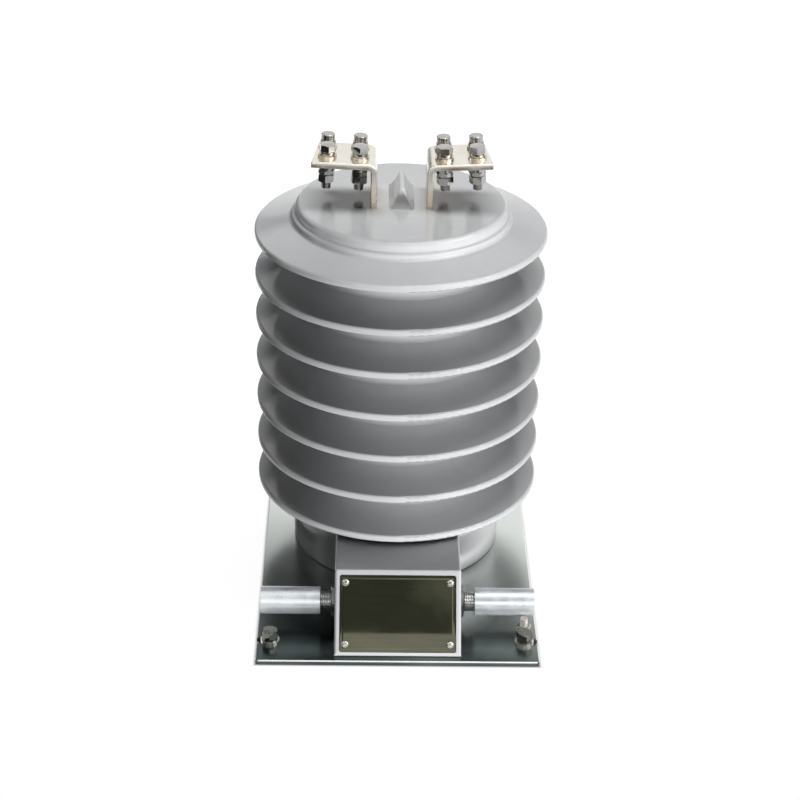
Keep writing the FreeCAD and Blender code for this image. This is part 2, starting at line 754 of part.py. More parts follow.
def ring_cores():
    """Wound steel strip rings, one per secondary winding."""
    return [
        tube(RING_OUTER_R, RING_INNER_R, RING_WIDTH, Vector(x - RING_WIDTH / 2, 0, RING_CENTRE_Z), X)
        for x in ring_xs()
    ]


def winding_envelopes():
    """Outer shapes of the secondary windings round their cores."""
    width = RING_WIDTH + 2 * WINDING_SIDE
    shapes = []
    for x in ring_xs():
        base = Vector(x - width / 2, 0, RING_CENTRE_Z)
        shapes.append(tube(RING_OUTER_R + WINDING_COVER, RING_INNER_R - WINDING_COVER, width, base, X))
    return shapes


def secondary_windings():
    """Copper windings that enclose the ring cores."""
    return [outer.cut(core) for outer, core in zip(winding_envelopes(), ring_cores())]


def secondary_leads():
    """Leads from each winding down and forward to the studs."""
    rise_y = -LEAD_SETBACK
    top = RING_CENTRE_Z
    windings = Part.makeCompound(winding_envelopes())
    leads = []
    for x in stud_xs():
        start = Vector(x, -CAVITY_BACK + STUD_ROOT, STUD_Z)
        corner = Vector(x, rise_y, STUD_Z)
        along = cylinder(LEAD_R, corner.y - start.y, start, Y)
        up = cylinder(LEAD_R, top - STUD_Z, corner, Z)
        lead = along.fuse(up).fuse(Part.makeSphere(LEAD_R, corner))
        pieces = lead.cut(windings).Solids
        lowest = min(pieces, key=lambda s: s.BoundBox.ZMin)
        leads.append(lowest)
    return leads


def primary_conductor():
    """The U-shaped primary bar through the ring cores, joined to both terminal bars."""
    half_span = RING_PITCH + RING_WIDTH / 2 + WINDING_SIDE + PRIMARY_CLEAR
    y0 = BAR_CENTRE_Y - PRIMARY_DEPTH / 2
    y1 = BAR_CENTRE_Y + PRIMARY_DEPTH / 2
    low = RING_CENTRE_Z - PRIMARY_THICK / 2
    high = BOSS_TOP - BAR_EMBED
    outer = half_span + PRIMARY_THICK
    shape = box(-outer, outer, y0, y1, low, low + PRIMARY_THICK)
    leg = box(half_span, outer, y0, y1, low, high)
    arm = box(BAR_INNER_X, outer, y0, y1, high - PRIMARY_THICK, high)
    right = leg.fuse(arm)
    return shape.fuse(right).fuse(mirrored_x(right)).removeSplitter()


def resin_body():
    """The one-piece casting with everything that is sealed in it or fitted to it cut out."""
    turned = Part.Face(shed_profile()).revolve(Vector(0, 0, 0), Z, 360)
    body = turned.fuse(block()).fuse(ridge())
    body = body.cut(recess()).cut(cavity())
    bore = cylinder(NIPPLE_R, BLOCK_WIDTH, Vector(CAVITY_WIDTH / 2 - 1, CONDUIT_Y, CONDUIT_Z), X)
    body = body.cut(bore).cut(mirrored_x(bore))
    bar = terminal_bar()
    body = body.cut(bar).cut(mirrored_x(bar)).cut(primary_conductor())
    for piece in winding_envelopes() + secondary_leads() + body_sockets() + secondary_studs():
        body = body.cut(piece)
    for x, y in fixing_points():
        body = body.cut(cylinder(SOCKET_R, SOCKET_H, Vector(x, y, PLATE_THICK)))
    for u, v in cover_screw_points():
        depth = COVER_SCREW_LENGTH + 1.0
        start = face_point(u, v, GASKET_THICK + COVER_THICK + COVER_PANEL - RECESS_DEPTH - depth)
        body = body.cut(cylinder(COVER_SCREW_R, depth, start, FACE_OUT))
    return body


def compound(shapes):
    """Several loose pieces of one kind."""
    return Part.makeCompound(list(shapes))


os.makedirs("parts", exist_ok=True)

# Steel base with its bolts and earthing stud
base_plate().exportStep("parts/base_plate.step")
compound(base_bolts()).exportStep("parts/base_bolts.step")
compound(base_flat_washers()).exportStep("parts/base_flat_washers.step")
compound(base_spring_washers()).exportStep("parts/base_spring_washers.step")
earth_stud().exportStep("parts/earth_stud.step")
earth_washer().exportStep("parts/earth_washer.step")
earth_nut().exportStep("parts/earth_nut.step")
compound(fixing_screws()).exportStep("parts/body_fixing_screws.step")

# Casting and what is sealed in it
resin_body().exportStep("parts/resin_body.step")
compound(body_sockets()).exportStep("parts/body_sockets.step")
primary_conductor().exportStep("parts/primary_conductor.step")
compound(ring_cores()).exportStep("parts/ring_cores.step")
compound(secondary_windings()).exportStep("parts/secondary_windings.step")
compound(secondary_leads()).exportStep("parts/secondary_leads.step")

# Primary terminals
terminal_bar().exportStep("parts/terminal_bar_right.step")
mirrored_x(terminal_bar()).exportStep("parts/terminal_bar_left.step")
compound(terminal_bolts()).exportStep("parts/terminal_bolts.step")
compound(terminal_cap_screws()).exportStep("parts/terminal_cap_screws.step")
compound(terminal_thin_nuts()).exportStep("parts/terminal_thin_nuts.step")
compound(terminal_nuts()).exportStep("parts/terminal_nuts.step")
compound(terminal_flat_washers()).exportStep("parts/terminal_flat_washers.step")
compound(terminal_spring_washers()).exportStep("parts/terminal_spring_washers.step")

# Junction block fittings
cover().exportStep("parts/junction_cover.step")
gasket().exportStep("parts/cover_gasket.step")
compound(cover_screws()).exportStep("parts/cover_screws.step")
terminal_board().exportStep("parts/terminal_board.step")
compound(secondary_studs()).exportStep("parts/secondary_studs.step")
compound(secondary_washers()).exportStep("parts/secondary_washers.step")
compound(secondary_nuts()).exportStep("parts/secondary_nuts.step")
nipple().exportStep("parts/conduit_nipple_right.step")
mirrored_x(nipple()).exportStep("parts/conduit_nipple_left.step")
locknut().exportStep("parts/conduit_locknut_right.step")
mirrored_x(locknut()).exportStep("parts/conduit_locknut_left.step")
conduit_pipe().exportStep("parts/conduit_pipe_right.step")
mirrored_x(conduit_pipe()).exportStep("parts/conduit_pipe_left.step")
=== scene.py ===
import math

import bpy
from mathutils import Matrix, Vector


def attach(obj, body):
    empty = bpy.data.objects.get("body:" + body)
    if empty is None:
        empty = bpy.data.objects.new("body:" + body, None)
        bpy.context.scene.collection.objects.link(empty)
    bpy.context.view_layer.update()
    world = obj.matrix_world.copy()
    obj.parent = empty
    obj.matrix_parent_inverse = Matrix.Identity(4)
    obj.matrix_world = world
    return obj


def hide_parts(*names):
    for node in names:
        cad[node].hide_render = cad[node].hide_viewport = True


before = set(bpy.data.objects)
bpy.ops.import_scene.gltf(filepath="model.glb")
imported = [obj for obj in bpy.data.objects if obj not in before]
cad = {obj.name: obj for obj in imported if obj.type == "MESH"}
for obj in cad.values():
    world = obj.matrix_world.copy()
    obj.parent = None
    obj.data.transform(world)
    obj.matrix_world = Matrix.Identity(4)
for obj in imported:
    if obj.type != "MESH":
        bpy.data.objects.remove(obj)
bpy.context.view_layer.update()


# Base plate. The transformer stands on one cold-rolled steel plate with open-ended bolt slots.
# It is zinc plated and smooth, so that it mirrors what stands on it, with faint rolling
# streaks, cloudy passivation and a few handling marks. A painted reflection makes it lighter
# towards the back right, and a painted highlight runs along its top edge.

def place(tree, kind, **settings):
    """A node with its properties and unlinked inputs set by name."""
    node = tree.nodes.new(kind)
    for key, value in settings.items():
        if hasattr(node, key):
            setattr(node, key, value)
        else:
            node.inputs[key.replace("_", " ")].default_value = value
    return node


def wire(tree, *links):
    """Links each output to the input given with it."""
    for source, target in links:
        tree.links.new(source, target)


def feed(tree, socket, value):
    """Sets an input to a number or a colour, or links another node's output to it."""
    if isinstance(value, bpy.types.NodeSocket):
        tree.links.new(value, socket)
    elif isinstance(value, tuple):
        socket.default_value = (*value, 1.0)
    else:
        socket.default_value = value


def combined(tree, operation, first, second=0.0):
    """The result of one sum; either side may be a number or another node's output."""
    node = place(tree, "ShaderNodeMath", operation=operation)
    feed(tree, node.inputs[0], first)
    feed(tree, node.inputs[1], second)
    return node.outputs["Value"]


def effect_group(name, *inputs):
    """A shader node group that puts out one mask, with named inputs, ready to be filled."""
    group = bpy.data.node_groups.new(name, "ShaderNodeTree")
    group.interface.new_socket("Vector", in_out="INPUT", socket_type="NodeSocketVector")
    for socket, value in inputs:
        kind = "NodeSocketVector" if isinstance(value, tuple) else "NodeSocketFloat"
        made = group.interface.new_socket(socket, in_out="INPUT", socket_type=kind)
        made.default_value = value
    group.interface.new_socket("Mask", in_out="OUTPUT", socket_type="NodeSocketFloat")
    return group, group.nodes.new("NodeGroupInput"), group.nodes.new("NodeGroupOutput")


def build_mottle():
    """Soft cloudy variation between two values, at one scale."""
    group, start, end = effect_group(
        "cloudy mottle", ("Scale", 20.0), ("Detail", 4.0), ("Low", 0.35), ("High", 0.65))
    noise = place(group, "ShaderNodeTexNoise")
    spread = place(group, "ShaderNodeMapRange")
    wire(group,
         (start.outputs["Vector"], noise.inputs["Vector"]),
         (start.outputs["Scale"], noise.inputs["Scale"]),
         (start.outputs["Detail"], noise.inputs["Detail"]),
         (noise.outputs["Fac"], spread.inputs["Value"]),
         (start.outputs["Low"], spread.inputs["From Min"]),
         (start.outputs["High"], spread.inputs["From Max"]),
         (spread.outputs["Result"], end.inputs["Mask"]))
    return group


def build_streaks():
    """Fine drawn lines: noise stretched along one direction."""
    group, start, end = effect_group(
        "drawn streaks", ("Stretch", (1.0, 1.0, 1.0)), ("Low", 0.35), ("High", 0.65))
    stretch = place(group, "ShaderNodeMapping")
    noise = place(group, "ShaderNodeTexNoise", Scale=1.0, Detail=5.0, Roughness=0.6)
    spread = place(group, "ShaderNodeMapRange")
    wire(group,
         (start.outputs["Vector"], stretch.inputs["Vector"]),
         (start.outputs["Stretch"], stretch.inputs["Scale"]),
         (stretch.outputs["Vector"], noise.inputs["Vector"]),
         (noise.outputs["Fac"], spread.inputs["Value"]),
         (start.outputs["Low"], spread.inputs["From Min"]),
         (start.outputs["High"], spread.inputs["From Max"]),
         (spread.outputs["Result"], end.inputs["Mask"]))
    return group


def build_specks():
    """Scattered small spots, such as dust, marks or spangle."""
    group, start, end = effect_group("scattered specks", ("Scale", 300.0), ("Radius", 0.2))
    cells = place(group, "ShaderNodeTexVoronoi")
    spread = place(group, "ShaderNodeMapRange", To_Min=1.0, To_Max=0.0)
    wire(group,
         (start.outputs["Vector"], cells.inputs["Vector"]),
         (start.outputs["Scale"], cells.inputs["Scale"]),
         (cells.outputs["Distance"], spread.inputs["Value"]),
         (start.outputs["Radius"], spread.inputs["From Max"]),
         (spread.outputs["Result"], end.inputs["Mask"]))
    return group


MOTTLE, STREAKS, SPECKS = build_mottle(), build_streaks(), build_specks()


class Finish:
    """One surface finish: a Principled shader and the pattern nodes that feed it."""

    def __init__(self, name, **constants):
        self.material = bpy.data.materials.new(name)
        self.material.use_nodes = True
        self.tree = self.material.node_tree
        self.shader = self.tree.nodes["Principled BSDF"]
        self.position = self.tree.nodes.new("ShaderNodeTexCoord").outputs["Object"]
        for socket, value in constants.items():
            self.shader.inputs[socket.replace("_", " ")].default_value = value

    def effect(self, group, **values):
        """The mask that an effect group puts out in this finish, with its own values."""
        node = self.tree.nodes.new("ShaderNodeGroup")
        node.node_tree = group
        self.tree.links.new(self.position, node.inputs["Vector"])
        for socket, value in values.items():
            node.inputs[socket].default_value = value
        return node.outputs["Mask"]

    def along(self, axis):
        """The position along X, Y or Z."""
        apart = self.tree.nodes.new("ShaderNodeSeparateXYZ")
        self.tree.links.new(self.position, apart.inputs[0])
        return apart.outputs[axis]

    def combine(self, operation, first, second=0.0):
        return combined(self.tree, operation, first, second)

    def blend(self, mask, low, high):
        """A colour that goes from low to high with the mask; either may be another output."""
        mix = place(self.tree, "ShaderNodeMix", data_type="RGBA")
        feed(self.tree, mix.inputs["Factor"], mask)
        feed(self.tree, mix.inputs["A"], low)
        feed(self.tree, mix.inputs["B"], high)
        return mix.outputs["Result"]

    def ramp(self, mask, low, high, start=0.0, stop=1.0):
        """A number that goes from low to high while the mask goes from start to stop."""
        spread = place(self.tree, "ShaderNodeMapRange",
                       From_Min=start, From_Max=stop, To_Min=low, To_Max=high)
        self.tree.links.new(mask, spread.inputs["Value"])
        return spread.outputs["Result"]

    def colour(self, value):
        self.tree.links.new(value, self.shader.inputs["Base Color"])

    def roughness(self, value):
        self.tree.links.new(value, self.shader.inputs["Roughness"])

    def bump(self, height, strength, distance):
        """A relief of this height, laid over any relief that the finish already has."""
        node = place(self.tree, "ShaderNodeBump", Strength=strength, Distance=distance)
        self.tree.links.new(height, node.inputs["Height"])
        before = self.shader.inputs["Normal"].links
        if before:
            self.tree.links.new(before[0].from_socket, node.inputs["Normal"])
        self.tree.links.new(node.outputs["Normal"], self.shader.inputs["Normal"])

    def put_on(self, *objects):
        for obj in objects:
            obj.data.materials.clear()
            obj.data.materials.append(self.material)


plate_half_x, plate_half_y, plate_middle_y = 0.171, 0.245, -0.059
# Width and lowest height of the painted highlight along the plate's top edge.
edge_highlight_band, edge_highlight_z = 0.0012, 0.0046


def past_outline(tree, position):
    """How far a point lies outside the plate's outline, below zero within it."""
    apart = tree.nodes.new("ShaderNodeSeparateXYZ")
    tree.links.new(position, apart.inputs[0])
    aside = combined(tree, "ABSOLUTE", apart.outputs["X"])
    along = combined(
        tree, "ABSOLUTE", combined(tree, "SUBTRACT", apart.outputs["Y"], plate_middle_y))
    return combined(tree, "MAXIMUM", combined(tree, "SUBTRACT", aside, plate_half_x),
                    combined(tree, "SUBTRACT", along, plate_half_y))


plate_steel = Finish("zinc plated steel plate", Metallic=1.0)
clouds = plate_steel.effect(MOTTLE, Scale=9.0, Detail=3.0, Low=0.35, High=0.68)
rolling = plate_steel.effect(STREAKS, Stretch=(6.0, 220.0, 40.0), Low=0.3, High=0.7)
marks = plate_steel.effect(SPECKS, Scale=60.0, Radius=0.10)
worn = plate_steel.effect(MOTTLE, Scale=3.2, Detail=2.0, Low=0.5, High=0.72)
# Painted reflection: the plate's colour is made lighter towards the back right, standing in for the
# bright surroundings that it mirrors there.
aslant = plate_steel.combine(
    "ADD", plate_steel.along("Y"), plate_steel.combine("MULTIPLY", plate_steel.along("X"), 0.35))
painted_reflection_sweep = plate_steel.ramp(aslant, 0.0, 1.0, start=-0.26, stop=0.04)
# Painted highlight: a pale, rougher band along the top of the plate's outer edge stands in for the
# light that the edge catches.
near_edge = plate_steel.combine(
    "GREATER_THAN", past_outline(plate_steel.tree, plate_steel.position), -edge_highlight_band)
painted_edge_highlight = plate_steel.combine(
    "MULTIPLY", near_edge, plate_steel.combine("GREATER_THAN", plate_steel.along("Z"), edge_highlight_z))
toned = plate_steel.blend(clouds, (0.055, 0.072, 0.072), (0.11, 0.13, 0.128))
toned = plate_steel.blend(plate_steel.ramp(rolling, 0.0, 0.10), toned, (0.22, 0.24, 0.235))
toned = plate_steel.blend(worn, toned, (0.20, 0.225, 0.215))
toned = plate_steel.blend(painted_reflection_sweep, toned, (0.72, 0.76, 0.73))
toned = plate_steel.blend(plate_steel.ramp(marks, 0.0, 0.12), toned, (0.09, 0.10, 0.10))
plate_steel.colour(plate_steel.blend(painted_edge_highlight, toned, (0.86, 0.88, 0.88)))
streaked = plate_steel.combine(
    "ADD", plate_steel.ramp(clouds, 0.18, 0.26), plate_steel.ramp(rolling, 0.0, 0.015))
plate_steel.roughness(
    plate_steel.combine("ADD", streaked, plate_steel.ramp(painted_edge_highlight, 0.0, 0.25)))
plate_steel.put_on(cad["base_plate"])


# Base fixings. Cold-headed steel hexagon bolts with rolled threads, flat washers and spring
# washers hold the plate to its support, and a threaded earthing stud with its nut stands
# behind the right-hand bolt. All are zinc plated, the bolts darkened by age.

fixing_zinc = Finish("darkened zinc plating", Metallic=1.0)
clouds = fixing_zinc.effect(MOTTLE, Scale=140.0, Detail=3.0, Low=0.35, High=0.65)
grain = fixing_zinc.effect(MOTTLE, Scale=1400.0, Detail=2.0, Low=0.3, High=0.7)
fixing_zinc.colour(fixing_zinc.blend(clouds, (0.14, 0.137, 0.122), (0.21, 0.204, 0.183)))
fixing_zinc.roughness(fixing_zinc.ramp(grain, 0.08, 0.16))
fixing_zinc.bump(grain, 0.02, 0.0001)
fixing_zinc.put_on(cad["base_spring_washers"], cad["body_fixing_screws"])


def only(obj):
    """Selects one object alone and makes it the active one."""
    bpy.ops.object.select_all(action="DESELECT")
    obj.select_set(True)
    bpy.context.view_layer.objects.active = obj


def worked(obj, kind, **settings):
    """One modifier with these settings, applied at once."""
    modifier = obj.modifiers.new(kind.lower(), kind)
    for key, value in settings.items():
        setattr(modifier, key, value)
    bpy.ops.object.modifier_apply(modifier=modifier.name)


def tidy_mesh():
    """Ends an edit with merged doubles and outward normals."""
    bpy.ops.mesh.select_all(action="SELECT")
    bpy.ops.mesh.remove_doubles(threshold=1e-6)
    bpy.ops.mesh.normals_make_consistent(inside=False)
    bpy.ops.object.mode_set(mode="OBJECT")
    bpy.context.tool_settings.mesh_select_mode = (True, False, False)


def drawn_line(profile):
    """A plane shrunk to one point and drawn out along (radius, height) corners."""
    bpy.ops.object.select_all(action="DESELECT")
    bpy.ops.mesh.primitive_plane_add(size=0.001, location=(profile[0][0], 0, profile[0][1]))
    bpy.ops.object.transform_apply()
    bpy.ops.object.mode_set(mode="EDIT")
    bpy.ops.mesh.select_all(action="SELECT")
    bpy.ops.mesh.merge(type="CENTER")
    for here, there in zip(profile, profile[1:]):
        bpy.ops.mesh.extrude_vertices_move(TRANSFORM_OT_translate={
            "value": (there[0] - here[0], 0, there[1] - here[1])})
    bpy.ops.mesh.select_all(action="SELECT")
    return bpy.context.object


def spun(profile, steps=48):
    """A closed solid turned round Z from corners that start and end on the axis."""
    obj = drawn_line(profile)
    bpy.ops.mesh.spin(steps=steps, angle=2 * math.pi, center=(0, 0, 0), axis=(0, 0, 1))
    tidy_mesh()
    return obj


def rod(radius, low, high, spare=0.01):
    """A plain round rod on Z, a little longer than the hole it cuts."""
    low, high = low - spare, high + spare
    return spun([(0, low), (radius, low), (radius, high), (0, high)])


def threaded(core, crest, pitch, low, high, steps=28):
    """A screw thread round Z between two heights, cut flat and closed at both ends."""
    turns = math.ceil((high - low) / pitch) + 3
    start = low - 1.5 * pitch
    obj = drawn_line([(core, start), (crest, start + 0.42 * pitch), (crest, start + 0.58 * pitch),
                      (core, start + pitch)])
    bpy.ops.object.mode_set(mode="OBJECT")
    worked(obj, "SCREW", axis="Z", screw_offset=pitch, iterations=turns,
           steps=steps, render_steps=steps)
    bpy.ops.object.mode_set(mode="EDIT")
    bpy.ops.mesh.select_all(action="SELECT")
    bpy.ops.mesh.remove_doubles(threshold=1e-6)
    for height, below in ((low, True), (high, False)):
        bpy.ops.mesh.select_all(action="SELECT")
        bpy.ops.mesh.bisect(plane_co=(0, 0, height), plane_no=(0, 0, 1), use_fill=True,
                            clear_inner=below, clear_outer=not below, threshold=1e-6)
    tidy_mesh()
    return obj


def carve(obj, tool, operation="DIFFERENCE"):
    """One Boolean step with a tool that is used up by it."""
    only(obj)
    worked(obj, "BOOLEAN", operation=operation, solver="EXACT", object=tool)
    bpy.data.objects.remove(tool, do_unlink=True)


def hexagon(across_flats, low, high, hole=0.0):
    """A bolt's head round Z, or a nut when it has a hole, with its corners turned down."""
    corner = across_flats / 2 / math.cos(math.pi / 6)
    inward, drop, spare = 0.11 * across_flats, 0.066 * across_flats, 0.001
    bpy.ops.object.select_all(action="DESELECT")
    bpy.ops.mesh.primitive_cylinder_add(vertices=6, radius=corner, depth=high - low,
                                        location=(0, 0, (low + high) / 2),
                                        rotation=(0, 0, math.radians(-30)))
    obj = bpy.context.object
    bpy.ops.object.transform_apply()
    if hole:
        turned = [(0, low), (corner - inward, low), (corner, low + drop)]
    else:
        turned = [(0, low - spare), (corner * 1.1, low - spare)]
    turned += [(corner, high - drop), (corner - inward, high), (0, high)]
    carve(obj, spun(turned), "INTERSECT")
    if hole:
        carve(obj, rod(hole, low, high))
    return obj


def joined(name, parts):
    """Several meshes as one object at the origin."""
    only(parts[0])
    for part in parts[1:]:
        part.select_set(True)
    if len(parts) > 1:
        bpy.ops.object.join()
    parts[0].name = name
    return parts[0]


def repeated(name, obj, places):
    """Copies of a mesh at each place, given as matrices, as one object."""
    copies = []
    for matrix in places:
        only(obj)
        bpy.ops.object.duplicate()
        bpy.context.object.matrix_world = matrix
        bpy.ops.object.transform_apply()
        copies.append(bpy.context.object)
    bpy.data.objects.remove(obj, do_unlink=True)
    return joined(name, copies)


def fitted(obj, finish, slot, *nodes, smooth_below=35.0):
    """The finished piece takes its look, rides on the body and stands for its CAD nodes."""
    only(obj)
    bpy.ops.object.shade_smooth_by_angle(angle=math.radians(smooth_below))
    worked(obj, "WEIGHTED_NORMAL", keep_sharp=True, weight=90)
    finish.put_on(obj)
    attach(obj, "root")
    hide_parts(*nodes)


m12 = {"core": 0.00493, "crest": 0.006, "pitch": 0.00175}
m12_flats, m12_head, into_head = 0.018, 0.0085, 0.001
head_low, bolt_low, bolt_x, front_y, rear_y = 0.0135, 0.0002, 0.1545, -0.263, 0.145
spots = ((-bolt_x, front_y, 30.0), (bolt_x, front_y, 41.0),
         (-bolt_x, rear_y, 52.0), (bolt_x, rear_y, 63.0))
bolt = joined("base_bolt", [
    hexagon(m12_flats, head_low, head_low + m12_head),
    threaded(**m12, low=bolt_low, high=head_low + into_head)])
base_bolts = repeated("base_bolts_threaded", bolt, [
    Matrix.Translation((x, y, 0)) @ Matrix.Rotation(math.radians(turn), 4, "Z")
    for x, y, turn in spots])
fitted(base_bolts, fixing_zinc, "zinc_steel", "base_bolts")

pale_zinc = Finish("pale yellowed zinc", Metallic=1.0)
clouds = pale_zinc.effect(MOTTLE, Scale=150.0, Detail=3.0, Low=0.35, High=0.65)
pale_zinc.colour(pale_zinc.blend(clouds, (0.60, 0.58, 0.53), (0.80, 0.78, 0.72)))
pale_zinc.roughness(pale_zinc.ramp(clouds, 0.18, 0.3))
pale_zinc.put_on(cad["base_flat_washers"], cad["earth_washer"], cad["earth_nut"])

stud_y, stud_low, stud_top = -0.241, 0.0001, 0.027
stud = threaded(core=0.0041, crest=0.005, pitch=0.0015, low=stud_low, high=stud_top)
stud = repeated("earth_stud_threaded", stud, [Matrix.Translation((bolt_x, stud_y, 0))])
fitted(stud, pale_zinc, "zinc_steel", "earth_stud")


# Cast body. Foot, sheds, boss, ridge and junction block are one casting of filled epoxy resin,
# poured in a polished steel mould. It comes out glossy, with a slight orange peel and faint
# flow clouds.

resin = Finish("grey casting resin", Specular_IOR_Level=0.5)
flow = resin.effect(MOTTLE, Scale=7.0, Detail=4.0, Low=0.32, High=0.68)
fine = resin.effect(MOTTLE, Scale=90.0, Detail=3.0, Low=0.3, High=0.7)
dust = resin.effect(SPECKS, Scale=420.0, Radius=0.08)
peel = resin.effect(MOTTLE, Scale=160.0, Detail=2.0, Low=0.2, High=0.8)
tone = resin.blend(flow, (0.408, 0.414, 0.422), (0.458, 0.464, 0.470))
tone = resin.blend(resin.ramp(fine, 0.0, 0.22), tone, (0.370, 0.376, 0.384))
resin.colour(resin.blend(resin.ramp(dust, 0.0, 0.25), tone, (0.56, 0.56, 0.55)))
resin.roughness(resin.ramp(fine, 0.11, 0.18))
resin.bump(peel, 0.008, 0.0002)
resin.put_on(cad["resin_body"])


# Junction cover. A thin polished sheet, lacquered almost black and pressed with a raised panel,
# closes the junction block over a rubber gasket. Four plated pan head screws with cross
# recesses hold it.

lacquer = Finish("black polished sheet", Metallic=1.0)
clouds = lacquer.effect(MOTTLE, Scale=22.0, Detail=3.0, Low=0.4, High=0.75)
lines = lacquer.effect(STREAKS, Stretch=(14.0, 500.0, 500.0), Low=0.35, High=0.65)
# Painted reflection: the cloudy tone lays soft lighter blobs on the sheet, like those that its
# polished face mirrors.
tone = lacquer.blend(clouds, (0.125, 0.124, 0.085), (0.155, 0.153, 0.105))
lacquer.colour(lacquer.blend(lacquer.ramp(lines, 0.0, 0.25), tone, (0.20, 0.20, 0.15)))
lacquer.roughness(lacquer.ramp(clouds, 0.015, 0.035))


def chosen(obj, kind, test):
    """Starts an edit with only those vertices, edges or polygons selected that pass a test."""
    kinds = ("vertices", "edges", "polygons")
    for name in kinds:
        for part in getattr(obj.data, name):
            part.select = name == kind and test(part)
    bpy.context.tool_settings.mesh_select_mode = [name == kind for name in kinds]
    bpy.ops.object.mode_set(mode="EDIT")


lean = math.radians(37.5)
block_foot_y, block_foot_z, block_top, half_block = -0.299, 0.006, 0.0905, 0.0765
rim_foot, rim_side, recess_depth, gasket, play = 0.0075, 0.006, 0.004, 0.0015, 0.0005
sheet, panel_edge, panel_slope, panel_rise, corner_round = 0.0015, 0.0034, 0.0010, 0.0008, 0.0025
face_length = (block_top - block_foot_z) / math.cos(lean)
to_face = Matrix((
    (1.0, 0.0, 0.0, 0.0),
    (0.0, math.sin(lean), -math.cos(lean), block_foot_y),
    (0.0, math.cos(lean), math.sin(lean), block_foot_z),
    (0.0, 0.0, 0.0, 1.0)))
low, high = rim_foot + play, face_length - rim_side - play
width, seat = 2 * (half_block - rim_side - play), gasket - recess_depth
bpy.ops.object.select_all(action="DESELECT")
bpy.ops.mesh.primitive_cube_add(size=1.0, location=(0, (low + high) / 2, seat + sheet / 2))
cover = bpy.context.object
cover.scale = (width, high - low, sheet)
bpy.ops.object.transform_apply()


def upright(edge):
    """Whether an edge of the cover stands across the sheet."""
    first, second = (cover.data.vertices[v].co for v in edge.vertices)
    return abs(first.z - second.z) > 0.001


chosen(cover, "polygons", lambda polygon: polygon.normal.z > 0.9)
bpy.ops.mesh.inset(thickness=panel_edge, depth=0.0)
bpy.ops.mesh.inset(thickness=panel_slope, depth=panel_rise)
tidy_mesh()
chosen(cover, "edges", upright)
bpy.ops.mesh.bevel(offset=corner_round, segments=5)
tidy_mesh()
worked(cover, "BEVEL", width=0.0003, segments=2, limit_method="ANGLE", angle_limit=math.radians(25))
cover = repeated("junction_cover_pressed", cover, [to_face])
fitted(cover, lacquer, "cover_sheet", "junction_cover")

rubber = Finish("black gasket rubber", Roughness=0.7)
fine = rubber.effect(MOTTLE, Scale=300.0, Detail=3.0, Low=0.3, High=0.7)
rubber.colour(rubber.blend(fine, (0.02, 0.02, 0.02), (0.045, 0.045, 0.045)))
rubber.bump(fine, 0.2, 0.0002)
rubber.put_on(cad["cover_gasket"])

polished = Finish("polished plated screws", Metallic=1.0)
fine = polished.effect(MOTTLE, Scale=500.0, Detail=2.0, Low=0.3, High=0.7)
polished.colour(polished.blend(fine, (0.50, 0.48, 0.45), (0.70, 0.68, 0.65)))
polished.roughness(polished.ramp(fine, 0.10, 0.2))

shank, head, shank_length, head_height = 0.0024, 0.0046, 0.016, 0.003
under_head = seat + sheet + panel_rise
screw = spun([(0, under_head - shank_length), (shank, under_head - shank_length),
              (shank, under_head), (head, under_head), (head, under_head + 0.0009),
              (0.0042, under_head + 0.0017), (0.0033, under_head + 0.0025),
              (0.0018, under_head + 0.0029), (0, under_head + head_height)], 32)
for turn in (20.0, 110.0):
    bpy.ops.object.select_all(action="DESELECT")
    bpy.ops.mesh.primitive_cube_add(size=1.0, location=(0, 0, under_head + 0.0024),
                                    rotation=(0, 0, math.radians(turn)))
    slot = bpy.context.object
    slot.scale = (0.0052, 0.0012, 0.0032)
    bpy.ops.object.transform_apply()
    carve(screw, slot)
from_side, from_end = 0.0073, 0.0095
across = half_block - rim_side - from_side
up_low, up_high = rim_foot + from_end, face_length - rim_side - from_end
corners = ((-across, up_low, 0.0), (across, up_low, 35.0),
           (-across, up_high, 60.0), (across, up_high, 15.0))
screws = repeated("cover_screws_crossed", screw, [
    to_face @ Matrix.Translation((u, v, 0)) @ Matrix.Rotation(math.radians(turn), 4, "Z")
    for u, v, turn in corners])
fitted(screws, polished, "bright_screws", "cover_screws", smooth_below=50.0)


# Conduit pipes. Galvanised steel pipe carries the secondary cables out on both sides. Each pipe
# is screwed over a nipple with a cut thread, which a thin hexagon locknut holds in the block.

galvanised = Finish("bright galvanised pipe", Metallic=0.78)
drawn = galvanised.effect(STREAKS, Stretch=(9.0, 240.0, 240.0), Low=0.35, High=0.65)
patches = galvanised.effect(MOTTLE, Scale=45.0, Detail=5.0, Low=0.38, High=0.62)
crystals = galvanised.effect(SPECKS, Scale=260.0, Radius=0.55)
tone = galvanised.blend(patches, (0.52, 0.56, 0.59), (0.72, 0.75, 0.78))
tone = galvanised.blend(galvanised.ramp(drawn, 0.0, 0.5), tone, (0.80, 0.82, 0.84))
galvanised.colour(
    galvanised.blend(galvanised.ramp(crystals, 0.0, 0.25), tone, (0.42, 0.44, 0.45)))
galvanised.roughness(galvanised.combine(
    "ADD", galvanised.ramp(patches, 0.28, 0.40), galvanised.ramp(drawn, 0.0, 0.08)))
galvanised.bump(drawn, 0.15, 0.0003)
galvanised.bump(crystals, 0.12, 0.0003)
galvanised.put_on(cad["conduit_pipe_right"], cad["conduit_pipe_left"])

cut_thread = Finish("cut zinc thread", Metallic=1.0)
clouds = cut_thread.effect(MOTTLE, Scale=160.0, Detail=3.0, Low=0.35, High=0.65)
cut_thread.colour(cut_thread.blend(clouds, (0.42, 0.43, 0.42), (0.68, 0.69, 0.68)))
cut_thread.roughness(cut_thread.ramp(clouds, 0.12, 0.22))

